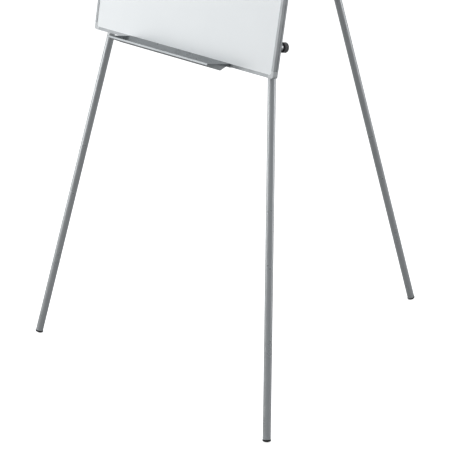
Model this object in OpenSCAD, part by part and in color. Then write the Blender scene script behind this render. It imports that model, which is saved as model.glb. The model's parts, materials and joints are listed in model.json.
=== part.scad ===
// Flipchart easel on three telescopic legs, with a steel-faced board, a folded pen tray and a pad clamp.
// Millimetres, +Z up, standing on the floor at z = 0, the board's face towards -Y.
// The leaning plane is the plane of the two front legs. Its own axes are x across,
// y square to it towards the back, and z up along it from the line of the front feet.

/* [Stand] */
// Distance between the front feet on the floor
front_foot_spread = 950; // [800:1:1150]
// Distance from the line of the front feet back to the rear foot
rear_foot_reach = 1007; // [820:1:1220]
// Backward lean of the front legs and the board, in degrees
front_lean = 9.13; // [7:0.01:11]
// Distance between the front legs at their top ends
front_top_spread = 265.4; // [220:0.1:340]

/* [Tubes] */
// Outside diameter of the upper leg tubes
upper_tube_d = 25; // [24:0.5:30]
// How much thinner the lower leg tubes are
tube_step = 5; // [4:0.1:7]
// Wall of all the leg tubes
tube_wall = 1.2; // [1:0.1:1.5]
// Length of lower tube that stays inside the upper tube when drawn out
tube_overlap = 110; // [80:1:140]
// Height of the front leg clamps above the board's lower edge
front_clamp_rise = 69.3; // [40:0.1:140]
// Height of the rear leg clamp, along the leg from the floor
rear_clamp_height = 1062; // [850:1:1300]

/* [Feet] */
// How far the rim of a foot stands out from its tube
foot_lip = 0.6; // [0.3:0.1:3]
// Radius of the domed sole
foot_dome_r = 20; // [16:0.5:26]
// Height of the straight rim above the dome
foot_rim_h = 4; // [3:0.5:10]

/* [Leg clamps] */
// Height of a clamp collar
collar_h = 50; // [46:1:60]
// Wall of a clamp collar round the upper tube
collar_wall = 4; // [3:0.1:6]
// Radius of the screw of a clamp
screw_r = 4; // [3:0.1:4.5]
// Diameter of the clamp knob
knob_d = 26; // [22:0.5:32]
// Length of the ribbed knob
knob_length = 15; // [12:0.5:20]
// Number of grooves round the knob
knob_grooves = 16; // [10:1:24]

/* [Head] */
// Thickness of the head plate between the tubes and the board
plate_t = 3; // [2.5:0.1:4]
// How far the head plate's lower edge reaches past the middle of each front leg
head_plate_past = 19.6; // [16:0.1:40]
// Height of the head plate
head_plate_h = 84; // [66:1:110]
// Distance of the rear hinge below the board's top
hinge_drop = 24; // [18:1:40]
// Distance of the rear hinge behind the front legs
hinge_back = 46; // [44:0.5:55]
// Radius of the rear hinge bolt
hinge_r = 4; // [3:0.1:5]

/* [Board] */
// Width of the board
board_w = 700; // [580:1:860]
// Height of the board
board_h = 1000; // [800:1:1250]
// Distance from the floor line up the plane to the board's lower edge
board_up = 880; // [700:1:1060]
// Thickness of the board's frame
board_t = 16; // [13:0.1:22]
// Width of the frame's face
frame_face = 8; // [6:0.5:10]
// Wall behind the frame's face and back lips
frame_lip = 1.2; // [1:0.1:2]
// Length of each arm of a corner cap
corner_arm = 18; // [14:0.5:30]

/* [Pen tray] */
// Width of the pen tray
tray_w = 390; // [260:1:500]
// Reach of the tray in front of the board's face
tray_reach = 75; // [60:0.5:95]
// Depth of the tray's fold below the board's edge
tray_drop = 9.2; // [6:0.1:14]
// Height of the tray's rim above the board's edge
tray_rim_up = 8; // [7:0.1:14]
// Sheet thickness of the tray
tray_t = 1.2; // [1:0.1:1.5]

/* [Pad clamp] */
// Distance from each end of the pad rail to the board's side
rail_inset = 30; // [20:1:50]
// Drop of the pad rail down the board's face
rail_drop = 45; // [42:0.5:50]
// Distance of each pad peg from the middle
peg_x = 230; // [150:1:240]
// Furthest that a peg slides towards the middle
peg_travel = 110; // [60:1:120]
// Radius of the free end of a peg
peg_r = 2.5; // [2:0.1:2.8]
// Number of turns in each clamp spring
spring_turns = 4; // [3:1:6]

/* [Hidden] */

$fn = 64;
LEFT = -1;
RIGHT = 1;
cut = 0.5;              // how far a cutting shape runs past the face that it opens
still_gap = 0.02;       // radial clearance of pieces fixed in each other
slide_gap = 0.08;       // radial clearance of pieces that slide in each other
turn_gap = 0.05;        // radial clearance of pieces that turn in each other
face_gap = 0.1;         // clearance between flat faces that move past each other

// Tubes
upper_tube_r = upper_tube_d / 2;
lower_tube_r = (upper_tube_d - tube_step) / 2;
upper_bore_r = upper_tube_r - tube_wall;
lower_bore_r = lower_tube_r - tube_wall;

// Front legs, from the line of their feet to their top ends just below the board's top
board_top = board_up + board_h;
leg_top_up = board_top - 6;
leg_splay = atan((front_foot_spread - front_top_spread) / 2 / leg_top_up);
front_leg_length = leg_top_up / cos(leg_splay);
front_clamp_height = (board_up + front_clamp_rise) / cos(leg_splay);

// Clamp, measured from the axis of its screw
collar_r = upper_tube_r + collar_wall;
collar_below = 14;                     // collar below the screw
tube_seat = 14;                        // upper tube's end above the screw
collar_above = collar_h - collar_below;
collar_chamfer = 2;
insert_r = 8.8;
insert_neck_r = 6.5;
insert_start = collar_r + 0.5;
insert_length = 12.5;
shoe_r = 5;
shoe_length = 5;
shoe_start = lower_tube_r + 0.25;
shoe_room = shoe_length + 2.8;         // room for the shoe to back off the tube
nose_r = 2.5;
nose_depth = 3;
insert_end = insert_start + insert_length;
knob_start = insert_end + 0.5;
stud_step = shoe_start + shoe_length + face_gap;
stud_grip = 11;                        // length of stud held in the knob

// Feet
foot_r = lower_tube_r + foot_lip;
spigot_r = lower_bore_r - still_gap;
dome_depth = sqrt(foot_dome_r ^ 2 - foot_r ^ 2);
front_tilt = acos(cos(front_lean) * cos(leg_splay));

// Head
hinge_up = board_top - hinge_drop;
hinge_y = hinge_up * sin(front_lean) + hinge_back * cos(front_lean);
hinge_z = hinge_up * cos(front_lean) - hinge_back * sin(front_lean);
rear_tilt = atan((rear_foot_reach - hinge_y) / hinge_z);
rear_hinge_length = norm([rear_foot_reach - hinge_y, hinge_z]);
rear_open_angle = front_lean + rear_tilt;
plate_top_drop = 8;                    // head plate's top below the board's top
fitting_w = upper_tube_d + 0.2;
fitting_neck = 24;                     // fitting below the hinge, down to the tube's end
fitting_tail = 26;                     // fitting above the hinge, which meets the stop
fitting_spigot = 35;
washer_t = 0.7;
ear_in = fitting_w / 2 + washer_t + face_gap;
ear_t = 3;
ear_r = 15;
bolt_r = 3;
head_bolt_drops = [20, head_plate_h - 14];     // bolts below the top of each front tube
// The corner of the fitting's tail that meets the stop when the rear leg is open
stop_back = hinge_back - face_gap
    - upper_tube_r * cos(rear_open_angle) - fitting_tail * sin(rear_open_angle);
stop_up = fitting_tail * cos(rear_open_angle) - upper_tube_r * sin(rear_open_angle) - 10;

// Saddles
saddle_h = 40;
saddle_screw_x = upper_tube_r + 9.5;
saddle_w = 2 * (saddle_screw_x + 7);
leg_behind_board = (front_foot_spread - board_w + saddle_w + 24) / 2 / sin(leg_splay);
saddle_up = max(front_clamp_height + collar_above + 12 + saddle_h / 2, leg_behind_board);
strap_t = 1.8;
strap_open = 0.3;                      // how far the strap's ears stand off the tube's middle
board_screw_r = 2;
board_screw_bite = 6.5;

// Board, measured square to the leaning plane
board_back = -(upper_tube_r + plate_t);
board_front = board_back - board_t;
sheet_t = 0.5;
frame_web = 1.8;
panel_gap = 0.2;
panel_edge = frame_web + panel_gap;
pocket_front = board_front + frame_lip;
pocket_back = board_back - frame_lip;
panel_front = pocket_front + 0.05;
panel_back = pocket_back - 0.05;
frame_groove = [0.7, 4];
corner_r = 6;
plate_top = board_top - plate_top_drop;
leg_x_at_plate = front_foot_spread / 2 - (plate_top - head_plate_h) * tan(leg_splay);
head_plate_w = 2 * (leg_x_at_plate + head_plate_past);
head_screw_x = front_top_spread / 2 - 32.7;
head_screw_margin = 11;

// Pen tray
tray_lip_foot = 2;                     // where the upright lip meets the slope, above the board's edge
tray_fold_n = -30;
tray_back_up = tray_rim_up - 0.4;
tray_clear = 0.2;
tray_flange = board_t - 2;
tray_hem = [1.5, 4.2];
tray_screw_r = 1.5;
tray_screw_n = board_t / 2;
tray_screw_x = [for (i = [-1 : 1]) i * (tray_w / 2 - 45)];
edge_hole_depth = 12;                  // pilot holes of the tray's and the rail's screws

// Pad clamp
rail_w = board_w - 2 * rail_inset;
rail_t = 1.5;
rail_top = board_top + rail_t;
rail_front = board_front - rail_t;
rail_foot = rail_top - rail_drop;
rail_screw_r = 2;
peg_up = board_top - 27;
peg_shank_r = 3;
peg_flange_r = 6;
peg_flange_t = 1;
peg_end = board_front - 20.5;
peg_nut_r = 9;
peg_nut_t = 5;
peg_nut_grooves = 12;
slot_r = peg_shank_r + 0.2;
pivot_up = board_top - 6;
pivot_front = board_front - 20.5;
pivot_r = 3;
pivot_ear_r = 9;
bar_in = rail_w / 2 - 1;
bar_t = 1.5;
bar_front = pivot_front - 7.5;
bar_foot = board_top - 58;
bar_top = board_top;
grip_t = 5.9;
grip_front = -4;                       // how far the grip starts in front of the board's face
spring_wire_r = 0.8;
spring_coil_r = 4.6;
spring_start = bar_in - 17;
spring_pitch = 2 * spring_wire_r + 0.25;
spring_steps = 12;                     // points round each turn
spring_down_leg = 18;
spring_back_leg = 5.5;
spring_back_fall = 1.2;                // how far the back leg runs down

// The middle of the footprint
foot_front_y = foot_dome_r * tan(front_lean) - foot_r * cos(front_lean);
foot_rear_y = rear_foot_reach - foot_dome_r * tan(rear_tilt) + foot_r * cos(rear_tilt);
middle_y = (foot_front_y + foot_rear_y) / 2;

// ---------- places ----------

// The leaning plane of the front legs
module leaning() {
    translate([0, -middle_y, 0]) rotate([-front_lean, 0, 0]) children();
}

// A front leg: z runs up its axis from the floor, y is square to the leaning plane
module front_leg(side) {
    leaning() translate([side * front_foot_spread / 2, 0, 0])
        rotate([0, -side * leg_splay, 0]) children();
}

// The rear leg: z runs up its axis from the floor
module rear_leg() {
    translate([0, rear_foot_reach - middle_y, 0]) rotate([rear_tilt, 0, 0]) children();
}

// The rear hinge: x is its axis, z runs up the rear leg
module rear_hinge() {
    rear_leg() translate([0, 0, rear_hinge_length]) children();
}

// Lays a flat section (x towards the back, y up) along x between two places
module along_x(from, to) {
    translate([from, 0, 0]) rotate([90, 0, 90]) linear_extrude(to - from) children();
}

// Points a shape's z axis towards the back
module backward() {
    rotate([-90, 0, 0]) children();
}

// ---------- outlines ----------

function unit(v) = v / norm(v);
function reversed(list) = [for (i = [len(list) - 1 : -1 : 0]) list[i]];
function angle_of(v) = atan2(v[1], v[0]);
function short_turn(a) = a > 180 ? a - 360 : a < -180 ? a + 360 : a;

// The arc of radius r that rounds the corner at b between a and c
function round_corner(a, b, c, r, steps = 5) =
    let (u = unit(a - b),
         v = unit(c - b),
         half = acos(u * v) / 2,
         centre = b + unit(u + v) * r / sin(half),
         start = angle_of(b + u * r / tan(half) - centre),
         turn = short_turn(angle_of(b + v * r / tan(half) - centre) - start))
    [for (i = [0 : steps]) centre + r * [cos(start + turn * i / steps), sin(start + turn * i / steps)]];

// A bent line through the points, with its own radius at each inner point
function bent(points, radii) = concat([points[0]],
    [for (i = [1 : len(points) - 2])
        each round_corner(points[i - 1], points[i], points[i + 1], radii[i - 1])],
    [points[len(points) - 1]]);

function left_of(a, b) = let (d = unit(b - a)) [-d[1], d[0]];
function mitre(m, n) = (m + n) / (1 + m * n);

// The line moved to its left by a thickness
function beside(p, t) = [for (i = [0 : len(p) - 1]) p[i] + t * (
    i == 0 ? left_of(p[0], p[1]) :
    i == len(p) - 1 ? left_of(p[i - 1], p[i]) :
    mitre(left_of(p[i - 1], p[i]), left_of(p[i], p[i + 1])))];

// The section of a sheet of thickness t bent along the line
module sheet_section(line, t) {
    polygon(concat(line, reversed(beside(line, t))));
}

// ---------- leg pieces, each in its leg's own axes ----------

module tube(r, wall, from, to) {
    difference() {
        translate([0, 0, from]) cylinder(r = r, h = to - from);
        translate([0, 0, from - cut]) cylinder(r = r - wall, h = to - from + 2 * cut);
    }
}

function tube_foot(tilt) = foot_dome_r / cos(tilt) - dome_depth + foot_rim_h;

module foot(tilt) {
    centre = foot_dome_r / cos(tilt);
    color("#1c1c1e") {
        intersection() {
            translate([0, 0, centre]) sphere(r = foot_dome_r, $fn = 96);
            cylinder(r = foot_r, h = tube_foot(tilt));
        }
        translate([0, 0, tube_foot(tilt) - 1]) cylinder(r = spigot_r, h = 19);
    }
}

module lower_tube(tilt, clamp_height) {
    color("#b9bdc0")
        tube(lower_tube_r, tube_wall, tube_foot(tilt), clamp_height + tube_seat + tube_overlap);
}

module guide_bush(clamp_height) {
    top = clamp_height + tube_seat + tube_overlap;
    plug = 20;                         // length pressed into the lower tube
    head = 14;                         // length that slides in the upper tube
    taper = 2;
    bush_r = upper_bore_r - slide_gap;
    color("#3a3b3e") difference() {
        union() {
            translate([0, 0, top - plug]) cylinder(r = spigot_r, h = plug + 1);
            translate([0, 0, top]) cylinder(r = bush_r, h = head);
            translate([0, 0, top + head]) cylinder(r1 = bush_r, r2 = upper_bore_r - 1, h = taper);
        }
        translate([0, 0, top - plug - cut]) cylinder(r = 6, h = plug + head + taper + 2 * cut);
    }
}

module clamp_collar(clamp_height) {
    rim_r = collar_r - collar_chamfer;
    color("#3a3b3e") translate([0, 0, clamp_height]) difference() {
        union() {
            translate([0, 0, -collar_below]) intersection() {
                rotate_extrude() polygon([[0, 0], [rim_r, 0], [collar_r, collar_chamfer],
                    [collar_r, collar_h - collar_chamfer], [rim_r, collar_h], [0, collar_h]]);
                translate([-collar_r, face_gap * 3 + board_back, 0])
                    cube([2 * collar_r, 2 * collar_r + plate_t, collar_h]);
            }
            backward() cylinder(r = insert_r + 2, h = insert_start);
        }
        translate([0, 0, -collar_below - cut]) cylinder(r = lower_tube_r + slide_gap, h = collar_h);
        translate([0, 0, tube_seat]) cylinder(r = upper_tube_r + still_gap, h = collar_h);
        backward() cylinder(r = insert_neck_r + still_gap, h = insert_start + cut);
    }
}

module clamp_insert(clamp_height) {
    neck_start = lower_tube_r + 1;
    color("#c9cbcc") translate([0, 0, clamp_height]) backward() difference() {
        union() {
            translate([0, 0, neck_start]) cylinder(r = insert_neck_r, h = insert_start - neck_start);
            translate([0, 0, insert_start]) cylinder(r = insert_r, h = insert_length);
        }
        translate([0, 0, neck_start - cut])
            cylinder(r = shoe_r, h = shoe_start + shoe_room - neck_start + cut);
        cylinder(r = screw_r, h = insert_end + cut);
    }
}

module clamp_shoe(clamp_height) {
    color("#e3e0d6") translate([0, 0, clamp_height]) backward() difference() {
        translate([0, 0, shoe_start]) cylinder(r = shoe_r - slide_gap, h = shoe_length);
        translate([0, 0, shoe_start + shoe_length - nose_depth])
            cylinder(r = nose_r + turn_gap, h = nose_depth + cut);
    }
}

module clamp_stud(clamp_height) {
    nose_start = shoe_start + shoe_length - nose_depth + face_gap;
    stud_end = knob_start + stud_grip;
    color("#c9cbcc") translate([0, 0, clamp_height]) backward() {
        translate([0, 0, nose_start]) cylinder(r = nose_r, h = stud_step - nose_start + 1);
        translate([0, 0, stud_step]) cylinder(r = screw_r - turn_gap, h = stud_end - stud_step);
    }
}

module clamp_knob(clamp_height) {
    knob_r = knob_d / 2;
    collar = 2;
    collar_in = knob_r - 3;
    edge = 1.5;
    groove_r = 1.5;
    recess = 0.6;
    color("#2e2f32") translate([0, 0, clamp_height]) backward() translate([0, 0, knob_start]) difference() {
        rotate_extrude() polygon([[0, 0], [collar_in, 0], [collar_in, collar - 1],
            [knob_r - edge, collar - 1], [knob_r, collar], [knob_r, knob_length - edge],
            [knob_r - edge, knob_length], [0, knob_length]]);
        translate([0, 0, -cut])
            cylinder(r = screw_r - turn_gap + still_gap, h = stud_grip + cut + face_gap);
        for (i = [0 : knob_grooves - 1]) rotate([0, 0, i * 360 / knob_grooves])
            translate([knob_r + 0.5, 0, collar + 0.5]) cylinder(r = groove_r, h = knob_length);
        translate([0, 0, knob_length - recess]) cylinder(r = knob_r - 4, h = 1);
    }
}

// ---------- front frame ----------

module bolt_through_tube(drop, r, from, to) {
    translate([0, 0, front_leg_length - drop]) backward() translate([0, 0, from])
        cylinder(r = r, h = to - from);
}

module front_upper_tube(side) {
    color("#b9bdc0") front_leg(side) difference() {
        tube(upper_tube_r, tube_wall, front_clamp_height + tube_seat, front_leg_length);
        for (drop = head_bolt_drops)
            bolt_through_tube(drop, bolt_r + still_gap, board_back, upper_tube_r + cut);
    }
}

module left_upper_tube() { front_upper_tube(LEFT); }
module right_upper_tube() { front_upper_tube(RIGHT); }

module rear_upper_tube() {
    color("#b9bdc0") rear_leg()
        tube(upper_tube_r, tube_wall, rear_clamp_height + tube_seat, rear_hinge_length - fitting_neck);
}

module left_lower_tube() { front_leg(LEFT) lower_tube(front_tilt, front_clamp_height); }
module right_lower_tube() { front_leg(RIGHT) lower_tube(front_tilt, front_clamp_height); }
module rear_lower_tube() { rear_leg() lower_tube(rear_tilt, rear_clamp_height); }
module left_foot() { front_leg(LEFT) foot(front_tilt); }
module right_foot() { front_leg(RIGHT) foot(front_tilt); }
module rear_foot() { rear_leg() foot(rear_tilt); }
module left_guide_bush() { front_leg(LEFT) guide_bush(front_clamp_height); }
module right_guide_bush() { front_leg(RIGHT) guide_bush(front_clamp_height); }
module rear_guide_bush() { rear_leg() guide_bush(rear_clamp_height); }
module left_clamp_collar() { front_leg(LEFT) clamp_collar(front_clamp_height); }
module right_clamp_collar() { front_leg(RIGHT) clamp_collar(front_clamp_height); }
module rear_clamp_collar() { rear_leg() clamp_collar(rear_clamp_height); }
module left_clamp_insert() { front_leg(LEFT) clamp_insert(front_clamp_height); }
module right_clamp_insert() { front_leg(RIGHT) clamp_insert(front_clamp_height); }
module rear_clamp_insert() { rear_leg() clamp_insert(rear_clamp_height); }
module left_clamp_shoe() { front_leg(LEFT) clamp_shoe(front_clamp_height); }
module right_clamp_shoe() { front_leg(RIGHT) clamp_shoe(front_clamp_height); }
module rear_clamp_shoe() { rear_leg() clamp_shoe(rear_clamp_height); }
module left_clamp_knob() { front_leg(LEFT) clamp_knob(front_clamp_height); }
module right_clamp_knob() { front_leg(RIGHT) clamp_knob(front_clamp_height); }
module rear_clamp_knob() { rear_leg() clamp_knob(rear_clamp_height); }
module left_clamp_stud() { front_leg(LEFT) clamp_stud(front_clamp_height); }
module right_clamp_stud() { front_leg(RIGHT) clamp_stud(front_clamp_height); }
module rear_clamp_stud() { rear_leg() clamp_stud(rear_clamp_height); }

module tube_top_caps() {
    color("#1c1c1e") for (side = [LEFT, RIGHT]) front_leg(side) translate([0, 0, front_leg_length]) {
        translate([0, 0, -12]) cylinder(r = upper_bore_r - still_gap, h = 12.5);
        cylinder(r1 = upper_tube_r, r2 = upper_tube_r - 1, h = 2.5);
    }
}

// One ear of the rear hinge, as a section (x towards the back, y up the plane)
module ear_section() {
    rise = stop_up + 12;
    difference() {
        union() {
            polygon([[-upper_tube_r - 1, hinge_up - 20], [hinge_back, hinge_up - ear_r],
                [hinge_back, hinge_up + ear_r], [stop_back + 3, hinge_up + rise],
                [-upper_tube_r - 1, hinge_up + rise]]);
            translate([hinge_back, hinge_up]) circle(r = ear_r);
        }
        translate([hinge_back, hinge_up]) circle(r = hinge_r + still_gap);
    }
}

module head_screw_places() {
    low = plate_top - head_plate_h + head_screw_margin;
    high = plate_top - head_screw_margin;
    for (x = [-head_screw_x, head_screw_x], z = [low, high])
        translate([x, board_back, z]) backward() children();
}

module saddle_screw_places() {
    for (side = [LEFT, RIGHT]) front_leg(side) for (x = [-saddle_screw_x, saddle_screw_x])
        translate([x, board_back, saddle_up]) backward() children();
}

module head_bracket() {
    color("#a9adb0") difference() {
        leaning() {
            translate([-head_plate_w / 2, board_back, plate_top - head_plate_h])
                cube([head_plate_w, plate_t, head_plate_h]);
            for (from = [-ear_in - ear_t, ear_in]) along_x(from, from + ear_t) ear_section();
            translate([-ear_in - ear_t / 2, stop_back - 4, hinge_up + stop_up])
                cube([2 * ear_in + ear_t, 4, 20]);
        }
        leaning() head_screw_places() translate([0, 0, -cut])
            cylinder(r = board_screw_r + still_gap, h = plate_t + 2 * cut);
        for (side = [LEFT, RIGHT], drop = head_bolt_drops)
            front_leg(side) bolt_through_tube(drop, bolt_r + still_gap, board_back - cut, 0);
    }
}

module head_bolts() {
    color("#c9cbcc") for (side = [LEFT, RIGHT], drop = head_bolt_drops) front_leg(side) {
        bolt_through_tube(drop, bolt_r, board_back + face_gap, upper_tube_r + 1);
        translate([0, 0, front_leg_length - drop]) backward() translate([0, 0, upper_tube_r])
            difference() {
                rotate_extrude() polygon([[0, 0], [5.5, 0], [5.5, 1.4], [3.6, 3.4], [0, 3.4]]);
                translate([0, 0, 1.2]) cylinder(r = 2.3, h = 3, $fn = 6);
            }
    }
}

module hinge_bolt() {
    head_in = ear_in + ear_t;
    color("#c9cbcc") rear_hinge() rotate([0, 90, 0]) {
        translate([0, 0, -head_in - 1]) cylinder(r = hinge_r, h = 2 * head_in + 9);
        translate([0, 0, -head_in - face_gap]) mirror([0, 0, 1]) difference() {
            rotate_extrude() polygon([[0, 0], [7.5, 0], [7.5, 1.6], [5, 4.2], [0, 4.2]]);
            translate([0, 0, 1.6]) cylinder(r = 2.9, h = 3, $fn = 6);
        }
    }
}

module hinge_nut() {
    nut_h = 5.5;
    collar_up = 7.5;
    start = ear_in + ear_t + face_gap;
    color("#c9cbcc") rear_hinge() rotate([0, 90, 0]) translate([0, 0, start]) difference() {
        union() {
            cylinder(r = 7.5, h = nut_h, $fn = 6);
            translate([0, 0, nut_h - cut]) cylinder(r = 6, h = collar_up - nut_h + cut);
        }
        translate([0, 0, -cut]) cylinder(r = hinge_r + still_gap, h = collar_up + 2 * cut);
    }
}

module hinge_washers() {
    color("#e3e0d6") rear_hinge() rotate([0, 90, 0]) for (end = [-1, 1])
        translate([0, 0, end * (fitting_w / 2 + face_gap / 2 + washer_t / 2) - washer_t / 2]) difference() {
            cylinder(r = 9, h = washer_t);
            translate([0, 0, -cut]) cylinder(r = hinge_r + turn_gap, h = washer_t + 2 * cut);
        }
}

module rear_leg_fitting() {
    half = fitting_w / 2;
    color("#3a3b3e") rear_hinge() difference() {
        union() {
            translate([0, 0, -fitting_neck - fitting_spigot])
                cylinder(r = upper_bore_r - still_gap, h = fitting_spigot + 1);
            translate([0, 0, -fitting_neck]) cylinder(r = upper_tube_r, h = fitting_neck - 6);
            translate([-half, -upper_tube_r, -12]) cube([fitting_w, 2 * upper_tube_r, 12]);
            rotate([0, 90, 0]) translate([0, 0, -half]) cylinder(r = upper_tube_r, h = fitting_w);
            translate([-half, -upper_tube_r, -1]) cube([fitting_w, upper_tube_r - 2, fitting_tail + 1]);
        }
        rotate([0, 90, 0]) translate([0, 0, -half - cut])
            cylinder(r = hinge_r + turn_gap, h = fitting_w + 2 * cut);
    }
}

module tube_saddle(side) {
    color("#3a3b3e") front_leg(side) translate([0, 0, saddle_up]) difference() {
        translate([-saddle_w / 2, board_back, -saddle_h / 2])
            cube([saddle_w, -board_back - strap_open, saddle_h]);
        translate([0, 0, -saddle_h]) cylinder(r = upper_tube_r + still_gap, h = 2 * saddle_h);
        for (x = [-saddle_screw_x, saddle_screw_x]) translate([x, board_back - cut, 0]) backward()
            cylinder(r = board_screw_r + still_gap, h = -board_back + 2 * cut);
    }
}

module left_tube_saddle() { tube_saddle(LEFT); }
module right_tube_saddle() { tube_saddle(RIGHT); }

module tube_strap(side) {
    strap_r = upper_tube_r + still_gap;
    color("#c9cbcc") front_leg(side) translate([0, 0, saddle_up]) difference() {
        union() {
            intersection() {
                translate([0, 0, -saddle_h / 4]) cylinder(r = strap_r + strap_t, h = saddle_h / 2);
                translate([-saddle_w, -strap_open, -saddle_h]) cube([2 * saddle_w, saddle_w, 2 * saddle_h]);
            }
            translate([-saddle_w / 2, -strap_open, -saddle_h / 4]) cube([saddle_w, strap_t, saddle_h / 2]);
        }
        translate([0, 0, -saddle_h]) cylinder(r = strap_r, h = 2 * saddle_h);
        for (x = [-saddle_screw_x, saddle_screw_x]) translate([x, -strap_open - cut, 0]) backward()
            cylinder(r = board_screw_r + still_gap, h = strap_t + 2 * cut);
    }
}

module left_tube_strap() { tube_strap(LEFT); }
module right_tube_strap() { tube_strap(RIGHT); }

// A pan-head screw whose head sits a grip's length out from where its bite starts
module pan_screw(r, bite, grip) {
    head = r * [[0, 0], [1.9, 0], [1.9, 0.6], [1.3, 1.1], [0, 1.1]];
    translate([0, 0, -bite]) cylinder(r = r, h = bite + grip + cut);
    translate([0, 0, grip]) difference() {
        rotate_extrude() polygon(head);
        for (a = [0, 90]) rotate([0, 0, a]) translate([-r, -0.2 * r, 0.5 * r]) cube([2 * r, 0.4 * r, r]);
    }
}

module board_screws() {
    color("#c9cbcc") {
        leaning() head_screw_places() pan_screw(board_screw_r, board_screw_bite, plate_t);
        saddle_screw_places()
            pan_screw(board_screw_r, board_screw_bite, -board_back - strap_open + strap_t);
    }
}

// ---------- board ----------

// Everything that is cut through the back of the board for its screws
module board_pilot_holes() {
    leaning() head_screw_places() translate([0, 0, -board_screw_bite - cut])
        cylinder(r = board_screw_r + still_gap, h = board_screw_bite + 2 * cut);
    saddle_screw_places() translate([0, 0, -board_screw_bite - cut])
        cylinder(r = board_screw_r + still_gap, h = board_screw_bite + 2 * cut);
}

// A flat layer of the panel between two depths
module panel_layer(front, back) {
    leaning() translate([-board_w / 2 + panel_edge, front, board_up + panel_edge])
        cube([board_w - 2 * panel_edge, back - front, board_h - 2 * panel_edge]);
}

// A hole for a screw through the board's edge, from its face inwards
module edge_hole(r, depth) {
    translate([0, 0, -cut]) cylinder(r = r + still_gap, h = depth + cut);
}

module board_front_sheet() {
    color("#f3f5f6") panel_layer(panel_front, panel_front + sheet_t);
}

module board_core() {
    color("#c8b48a") difference() {
        panel_layer(panel_front + sheet_t, panel_back - sheet_t);
        board_pilot_holes();
        leaning() tray_screw_places() edge_hole(tray_screw_r, edge_hole_depth);
        leaning() rail_screw_places() edge_hole(rail_screw_r, edge_hole_depth);
    }
}

module board_back_sheet() {
    color("#aeb2b5") difference() {
        panel_layer(panel_back - sheet_t, panel_back);
        board_pilot_holes();
    }
}

// The frame's section: x from the outer edge inwards, y from the front to the back
module frame_section() {
    middle = (board_front + board_back) / 2;
    difference() {
        translate([0, board_front]) square([frame_face, board_t]);
        translate([frame_web, pocket_front]) square([frame_face, pocket_back - pocket_front]);
        translate([-frame_groove[0], middle - frame_groove[1] / 2])
            square([2 * frame_groove[0], frame_groove[1]]);
    }
}

// One upright of the frame, with its outer edge at the given side
module upright_profile(side) {
    color("#a6abae") leaning() translate([side * board_w / 2, 0, board_up + corner_arm])
        mirror([side > 0 ? 1 : 0, 0, 0]) linear_extrude(board_h - 2 * corner_arm) frame_section();
}

module left_frame_profile() { upright_profile(LEFT); }
module right_frame_profile() { upright_profile(RIGHT); }

// One level bar of the frame, from its outer edge inwards
module level_profile() {
    translate([-board_w / 2 + corner_arm, 0, 0]) rotate([0, 90, 0]) rotate([0, 0, 180]) mirror([0, 1, 0])
        linear_extrude(board_w - 2 * corner_arm) frame_section();
}

module tray_screw_places() {
    for (x = tray_screw_x) translate([x, board_front + tray_screw_n, board_up]) children();
}

module rail_screw_places() {
    for (i = [-1 : 1]) translate([i * (rail_w / 2 - 64), board_front + board_t / 2, board_top])
        rotate([180, 0, 0]) children();
}

module bottom_frame_profile() {
    color("#a6abae") leaning() difference() {
        translate([0, 0, board_up]) level_profile();
        tray_screw_places() edge_hole(tray_screw_r, frame_web + cut);
    }
}

module top_frame_profile() {
    color("#a6abae") leaning() difference() {
        translate([0, 0, board_top]) mirror([0, 0, 1]) level_profile();
        rail_screw_places() edge_hole(rail_screw_r, frame_web + cut);
    }
}

// A corner cap in the lower left corner, with its outer corner at the origin
module corner_cap() {
    difference() {
        translate([0, board_front, 0]) backward() mirror([0, 1, 0]) linear_extrude(board_t) difference() {
            union() {
                translate([corner_r, corner_r]) circle(r = corner_r);
                translate([corner_r, 0]) square([corner_arm - corner_r, frame_face]);
                translate([0, corner_r]) square([frame_face, corner_arm - corner_r]);
            }
        }
        translate([frame_web, pocket_front, frame_web])
            cube([2 * corner_arm, pocket_back - pocket_front, 2 * corner_arm]);
    }
}

module corner_caps() {
    color("#d9dcdd") leaning() translate([0, 0, board_up + board_h / 2])
        for (side = [0, 1], end = [0, 1]) mirror([side, 0, 0]) mirror([0, 0, end])
            translate([-board_w / 2, 0, -board_h / 2]) corner_cap();
}

// ---------- pen tray ----------

// The tray's sheet, from the front rim round to the flange under the board
tray_line = bent([[-tray_reach, tray_rim_up], [-tray_reach, tray_lip_foot], [tray_fold_n, -tray_drop],
    [-tray_t - tray_clear, tray_back_up + 1], [-tray_t - tray_clear, -tray_t - tray_clear],
    [tray_flange, -tray_t - tray_clear]], [2.5, 4, 1, 1.5]);

// The end wall's outline under the rim
tray_end = bent([[-tray_reach, tray_rim_up], [-tray_reach, tray_lip_foot], [tray_fold_n, -tray_drop],
    [-tray_t - tray_clear, tray_back_up], [-tray_t - tray_clear, tray_rim_up]], [2.5, 4, 0.1]);

module pen_tray() {
    half = tray_w / 2;
    color("#8d9194") leaning() translate([0, board_front, board_up]) difference() {
        union() {
            along_x(-half, half) sheet_section(tray_line, tray_t);
            for (from = [-half, half - tray_t]) along_x(from, from + tray_t) polygon(tray_end);
            for (from = [-half - tray_hem[0], half - cut]) along_x(from, from + tray_hem[0] + cut)
                translate([-tray_reach, tray_rim_up - tray_hem[1]])
                    square([tray_reach - tray_t - tray_clear, tray_hem[1]]);
            along_x(-half - tray_hem[0], half + tray_hem[0])
                translate([-tray_reach - tray_hem[0], tray_rim_up - tray_hem[1]]) square(tray_hem + [cut, 0]);
        }
        for (x = tray_screw_x) translate([x, tray_screw_n, -2 * tray_t])
            cylinder(r = tray_screw_r + still_gap, h = 3 * tray_t);
    }
}

module tray_screws() {
    grip = tray_t + tray_clear;
    color("#c9cbcc") leaning() tray_screw_places() mirror([0, 0, 1]) pan_screw(tray_screw_r, 8, grip);
}

// ---------- pad rail, pegs and clamp ----------

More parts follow.
